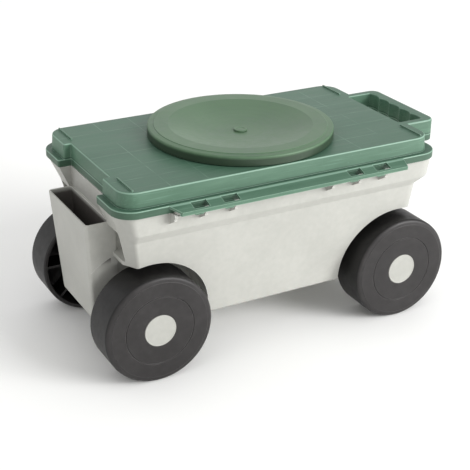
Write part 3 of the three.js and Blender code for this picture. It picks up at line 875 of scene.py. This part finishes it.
def lid_space():
    """The hollow under the deck and flange, with the ribs, seat well and pivot boss left standing."""
    flange = stacked([
        (rounded(rectangle(-254.5, 256, -142.7, 142.7, 28)), LID_FOOT - 5),
        (rounded(rectangle(-254.5, 256, -142.7, 142.7, 28)), FLANGE_TOP - WALL),
    ])
    deck = stacked([
        (rounded(rectangle(-246.5, 244, -136, 136, 22)), LID_FOOT - 5),
        (rounded(rectangle(-244.5, 242, -134, 134, 22)), DECK_TOP - WALL),
    ])
    space = joined(flange, deck)
    outer = -2 * RIB_PITCH
    rib = box(-236, 233, outer - 1.2, outer + 1.2, FLANGE_TOP, 290)
    long_ribs = repeated(rib, 5, None, step=(0, RIB_PITCH, 0))
    pivot_well = bar(2, (0, 0), 22, LID_FOOT, SEAT_WELL_FLOOR)
    rib_places = [side * x for side in (-1, 1) for x in CROSS_RIBS]
    cross_ribs = [box(x - 1.2, x + 1.2, -135, 135, FLANGE_TOP, 290) for x in rib_places]
    ribs = [cut(long_ribs, pivot_well)] + cross_ribs
    return cut(
        space,
        box(-300, NOTCH_X + WALL, -NOTCH_HALF - WALL, NOTCH_HALF + WALL, 200, 300),
        box(GRIP_NEAR - WALL, 300, -GRIP_HALF - WALL, GRIP_HALF + WALL, 200, 300),
        bar(2, (0, 0), SEAT_WELL_RADIUS + WALL, SEAT_WELL_FLOOR - WALL, 290, 96),
        bar(2, (0, 0), 16, 268, 290),
        *ribs,
    )


def handle_solid():
    outline = rounded(rectangle(215, HANDLE_END, -HANDLE_HALF, HANDLE_HALF, 14))
    return stacked([(outline, HANDLE_FOOT), (outline, DECK_TOP)], foot_round=1.5, head_round=3)


def finger_scallop():
    """The outline that one finger takes out of the bar."""
    half = GRIP_HALF / FINGER_COUNT
    radius = (half ** 2 + FINGER_DEPTH ** 2) / (2 * FINGER_DEPTH)
    centre = GRIP_FAR + FINGER_DEPTH - radius
    sweep = asin(half / radius)
    outline = [Vector((GRIP_FAR - 5, half)), Vector((GRIP_FAR - 5, -half))]
    for step in range(2 * ARC_STEPS + 1):
        turn = sweep * (step / ARC_STEPS - 1)
        outline.append(Vector((centre + radius * cos(turn), radius * sin(turn))))
    return outline


def grip_hole():
    """The hand hole, with a scallop for each finger along the bar."""
    plain = rounded(rectangle(GRIP_NEAR, GRIP_FAR, -GRIP_HALF, GRIP_HALF, 2.5))
    cutters = [mouth([(plain, 240), (plain, DECK_TOP)], 1.2)]
    for i in range(FINGER_COUNT):
        finger = mouth([(finger_scallop(), 240), (finger_scallop(), DECK_TOP)], 1.2)
        centre = GRIP_HALF * ((2 * i + 1) / FINGER_COUNT - 1)
        finger.transform(Matrix.Translation((0, centre, 0)))
        cutters.append(finger)
    return cutters


def deck_fins():
    """Short upright fins near the corners of the deck."""
    fins = []
    for x in (-231, 229):
        for y0 in (-132, 82):
            fin = box(x - 1.1, x + 1.1, y0, y0 + 50, DECK_TOP - 1, DECK_TOP + 2.4)
            fins.append(bevelled(fin, 0.4))
    return fins


def hinge_strip():
    """The sloping strip that covers the hinge, with a window over each hook."""
    plate = section_along_x([
        (-143, FLANGE_TOP - 0.4),
        (-145.7, FLANGE_TOP - 0.4),
        (STRIP_EDGE, STRIP_TOP),
        (STRIP_EDGE, STRIP_FOOT),
        (STRIP_EDGE + WALL, STRIP_FOOT),
        (STRIP_EDGE + WALL, STRIP_TOP - 2),
        (-143, 259),
    ], -190, 191)
    corners = [(191, -140), (-190, -140), (-174, STRIP_EDGE - 1), (186, STRIP_EDGE - 1)]
    skew = loft([[(x, y, z) for x, y in corners] for z in (240, 270)])
    strip = combined("INTERSECT", plate, [skew])
    windows = []
    for base in HINGE_GROUPS:
        for x0, x1 in ((-11.7, 11.3), (HINGE_PITCH - 12, HINGE_PITCH + 12)):
            windows.append(box(base + x0, base + x1, -159.3, -146, 240, 265))
    return bevelled(cut(strip, *windows), 0.5)


def hinge_hook(centre):
    """A hook that snaps over the tub's hinge pin."""
    x0 = centre - 6
    x1 = centre + 6
    ring = bar(0, (HINGE_Y, HINGE_Z), 4.8, x0, x1, 40)
    arm = box(x0 - 5.5, x1 + 5.5, HINGE_Y - 3.5, -145, LID_FOOT + 0.2, 252.4)
    bore = bar(0, (HINGE_Y, HINGE_Z), HINGE_PIN + 0.35, x0 - 1, x1 + 1, 32)
    gap = box(x0 - 1, x1 + 1, HINGE_Y - 6, HINGE_Y + 6, 240, HINGE_Z - 1.3)
    return cut(joined(ring, arm), bore, gap)


def make_lid():
    deck = stacked(deck_levels(), head_round=1.8)
    flange = stacked(flange_levels(), foot_round=0.8, head_round=1.6)
    handle_inside = cut(
        stacked([
            (rounded(rectangle(218, HANDLE_END - WALL, -77, 77, 11)), HANDLE_FOOT - 5),
            (rounded(rectangle(218, HANDLE_END - WALL, -77, 77, 11)), DECK_TOP - WALL),
        ]),
        box(200, GRIP_FAR + 7, -GRIP_HALF - WALL, GRIP_HALF + WALL, 200, 300),
        box(200, 262, -100, 100, 200, 300),
    )
    lid = joined(flange, deck, handle_solid())
    lid = cut(lid, lid_space(), handle_inside, *grip_hole())
    lid = joined(lid, hinge_strip(), *deck_fins())
    lid = cut(
        lid,
        bar(2, (0, 0), SEAT_WELL_RADIUS, SEAT_WELL_FLOOR, 300, 96),
        bar(2, (0, 0), PIVOT_BORE, 240, 300),
    )
    hooks = [hinge_hook(base + along - 3) for base in HINGE_GROUPS for along in (0, HINGE_PITCH)]
    return joined(lid, *hooks)


# ------------------------------------------------------------------ seat


def dish_height(radius):
    sphere = (DISH_RADIUS ** 2 + DISH_DEPTH ** 2) / (2 * DISH_DEPTH)
    return SEAT_TOP - DISH_DEPTH + sphere - sqrt(sphere ** 2 - radius ** 2)


def make_seat_disc():
    """The round seat: a dished middle, a flat ring with a low step, and a short skirt."""
    skirt_foot = DECK_TOP + 1
    hub_foot = SEAT_WELL_FLOOR + 2.7
    bolt_seat = 283.5
    upper = [(8.3, bolt_seat, 0.2), (8.3, dish_height(8.3), 0.4)]
    upper += [(r, dish_height(r), 8) for r in range(24, 96, 12)]
    upper += [
        (DISH_RADIUS, SEAT_TOP - 0.3, 6),
        (STEP_RADIUS - 1.4, SEAT_TOP, 0.5),
        (STEP_RADIUS - 0.4, SEAT_TOP - 0.9, 0.5),
        (SEAT_RADIUS, SEAT_TOP - 1.6, 2.6),
        (SEAT_RADIUS, skirt_foot, 0.8),
    ]
    lower = [(SEAT_RADIUS - WALL, skirt_foot, 0.8), (SEAT_RADIUS - WALL, SEAT_TOP - 5.5, 1.5)]
    lower += [(DISH_RADIUS, SEAT_TOP - WALL - 0.8, 4)]
    lower += [(r, dish_height(r) - WALL, 8) for r in range(84, 24, -12)]
    lower += [(17, dish_height(17) - WALL, 1), (16, hub_foot, 0.4), (PIVOT_BORE, hub_foot, 0.3)]
    lower += [(PIVOT_BORE, bolt_seat, 0.2)]
    outline = rounded(upper + lower, steps=4)
    return upright_turned(outline)


def upright_turned(outline, steps=TURNED_STEPS):
    mesh = turned(outline, steps)
    mesh.transform(Matrix.Rotation(pi / 2, 4, "X"))
    return mesh


def make_seat_cap():
    """The plug over the pivot bolt, with a shallow ring in its top."""
    top = SEAT_TOP - DISH_DEPTH + 0.5
    outline = rounded([
        (0.0, top - 1.2, 0.01),
        (7.8, top - 1.2, 0.2),
        (7.8, top, 0.1),
        (10, top, 0.1),
        (9.8, top + 2.2, 0.8),
        (7.0, top + 2.3, 0.3),
        (6.4, top + 1.7, 0.3),
        (0.0, top + 1.9, 0.01),
    ], steps=4)
    return upright_turned(outline, 64)


# ------------------------------------------------------------------ wheels


def make_wheel(material):
    """A hollow wheel, turned about Y, with its face at WHEEL_WIDTH and its open side at 0."""
    cup_floor = WHEEL_WIDTH - CUP_DEPTH
    inside = WHEEL_RADIUS - TREAD_WALL
    shell = turned(rounded([
        (AXLE_BORE, -0.8, 0.3),
        (HUB_RADIUS, -0.8, 0.5),
        (HUB_RADIUS, cup_floor - FACE_WALL, 2),
        (CAP_RADIUS + 4, cup_floor - FACE_WALL, 2),
        (CAP_RADIUS + 4, WHEEL_WIDTH - FACE_WALL, 2),
        (inside, WHEEL_WIDTH - FACE_WALL, 3),
        (inside, 0, 0.8),
        (WHEEL_RADIUS, 0, 2.5),
        (WHEEL_RADIUS, WHEEL_WIDTH - 1.6, 5),
        (WHEEL_RADIUS - 7.4, WHEEL_WIDTH - 0.6, 0.5),
        (WHEEL_RADIUS - 8.0, WHEEL_WIDTH, 0.3),
        (GROOVE_RADIUS + 0.9, WHEEL_WIDTH, 0.3),
        (GROOVE_RADIUS, WHEEL_WIDTH - 1.1, 0.2),
        (GROOVE_RADIUS - 0.9, WHEEL_WIDTH, 0.3),
        (CAP_RADIUS + 0.35, WHEEL_WIDTH, 0.6),
        (CAP_RADIUS + 0.35, cup_floor, 0.5),
        (AXLE_BORE, cup_floor, 0.3),
    ], steps=4))
    rib = box(HUB_RADIUS - 1, inside + 1, cup_floor - 36.5, cup_floor + 1.5 - 3, -1.5, 1.5)
    ribs = repeated(rib, WHEEL_RIBS, material, turn=2 * pi / WHEEL_RIBS)
    return joined(shell, ribs)


def make_hub_cap():
    """A snap-in cap with a softly rounded edge and a shallow rim."""
    face = WHEEL_WIDTH
    return turned(rounded([
        (0.0, face - 3, 0.01),
        (19, face - 3, 0.3),
        (19, face - 9, 0.3),
        (21, face - 9, 0.3),
        (21, face - 3, 0.3),
        (CAP_RADIUS, face - 3, 0.2),
        (CAP_RADIUS, face + 0.4, 0.9),
        (CAP_RADIUS - 1.6, face + 0.4, 0.3),
        (CAP_RADIUS - 1.9, face + 0.1, 0.3),
        (0.0, face + 0.1, 0.01),
    ], steps=4), 72)


def placed_on_axle(mesh, x, side):
    """Moves a wheel piece out along its axle. The near side's is turned round, not mirrored."""
    turn = Matrix.Rotation(0 if side > 0 else pi, 4, "Z")
    mesh.transform(Matrix.Translation((x, side * WHEEL_INNER_FACE, AXLE_Z)) @ turn)
    return mesh


# ------------------------------------------------------------------ assembly

REPEAT = repeat_tree()
GREY = grey_polypropylene()
GREEN = green_polypropylene()
OLIVE = olive_polypropylene()
BLACK = black_polyethylene()
CAP = cap_polypropylene()
NYLON = natural_nylon()
STEEL = zinc_plated_steel()

finished("moulded_tub", make_tub(GREY), GREY, "tub", "tub", "tub")
finished("moulded_lid", make_lid(), GREEN, "lid", "lid", "lid")
finished("round_seat", make_seat_disc(), OLIVE, "seat", "seat", "seat_disc")
finished("seat_plug", make_seat_cap(), OLIVE, "seat", "seat", "seat_centre_cap")

for end, x in (("rear", -AXLE_X), ("front", AXLE_X)):
    for side_name, side in (("left", 1), ("right", -1)):
        corner = f"{end}_{side_name}"
        wheel = placed_on_axle(make_wheel(BLACK), x, side)
        cap = placed_on_axle(make_hub_cap(), x, side)
        finished(f"{corner}_road_wheel", wheel, BLACK, f"{corner}_wheel", "wheel", f"{corner}_wheel")
        finished(f"{corner}_wheel_cap", cap, CAP, f"{corner}_wheel", "hub_cap", f"{corner}_hub_cap")

KEPT_STEEL = ["seat_pivot_bolt", "seat_pivot_washer", "seat_pivot_nut", "rear_axle", "front_axle"]
KEPT_NYLON = ["seat_glide_ring"]
for end in ("rear", "front"):
    for side_name in ("left", "right"):
        KEPT_STEEL.append(f"{end}_{side_name}_push_nut")
        KEPT_NYLON.append(f"{end}_{side_name}_axle_washer")
for names, material in ((KEPT_STEEL, STEEL), (KEPT_NYLON, NYLON)):
    for name in names:
        for material_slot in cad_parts[name].material_slots:
            material_slot.material = material

# ------------------------------------------------------------------ studio


def make_floor():
    half = 4.0
    corners = [(-half, -half, 0), (half, -half, 0), (half, half, 0), (-half, half, 0)]
    mesh = bpy.data.meshes.new("floor")
    mesh.from_pydata(corners, [], [(0, 1, 2, 3)])
    mesh.materials.append(matt_floor())
    new_object("floor", mesh)


def aimed(name, lamp, place):
    """Puts a lamp at a place, aimed at the middle of the cart."""
    made = new_object(name, lamp)
    made.location = place
    made.rotation_euler = (Vector((0, 0, 0.15)) - made.location).to_track_quat("-Z", "Y").to_euler()


def soft_light(name, place, size, power):
    """A square softbox."""
    lamp = bpy.data.lights.new(name, "AREA")
    lamp.shape = "SQUARE"
    lamp.size = size
    lamp.energy = power
    aimed(name, lamp, place)


def broad_light(name, place, spread, strength):
    """A light bank so large and far away that it lights the whole floor evenly."""
    lamp = bpy.data.lights.new(name, "SUN")
    lamp.angle = radians(spread)
    lamp.energy = strength
    aimed(name, lamp, place)


def studio_world(low, high):
    """Pale studio walls, and a darker ceiling."""
    world = bpy.data.worlds.new("studio")
    world.use_nodes = True
    tree = world.node_tree
    height = axes(tree, add_node(tree, "ShaderNodeTexCoord").outputs["Generated"])[2]
    shade = ramp(tree, height, [(0.0, grey(low)), (0.6, grey(high))])
    tree.links.new(shade, tree.nodes["Background"].inputs["Color"])
    bpy.context.scene.world = world


def make_camera():
    """The camera stands at the tool pocket end of the near side, and looks down on the seat."""
    yaw = radians(29.168)
    pitch = radians(25.329)
    roll = radians(0.877)
    forward = Vector((cos(pitch) * sin(yaw), cos(pitch) * cos(yaw), -sin(pitch)))
    level = Vector((cos(yaw), -sin(yaw), 0))
    above = level.cross(forward)
    right = cos(roll) * level + sin(roll) * above
    up = cos(roll) * above - sin(roll) * level
    lens = bpy.data.cameras.new("camera")
    lens.sensor_width = 36
    lens.lens = 86.24
    made = new_object("camera", lens)
    turn = Matrix((right, up, -forward)).transposed().to_4x4()
    made.matrix_world = Matrix.Translation((-0.7709, -1.3496, 0.8553)) @ turn
    bpy.context.scene.camera = made


make_floor()
studio_world(0.9, 0.3)
broad_light("key bank", (1.7, -2.5, 1.5), 30, 1.9)
broad_light("top bank", (-0.3, 0.2, 3.0), 130, 1.5)
broad_light("rear bank", (0.97, 1.74, 0.6), 25, 0.14)
soft_light("right softbox", (1.2, -1.3, 0.6), 0.7, 14)
make_camera()
bpy.context.scene.view_settings.view_transform = "Standard"
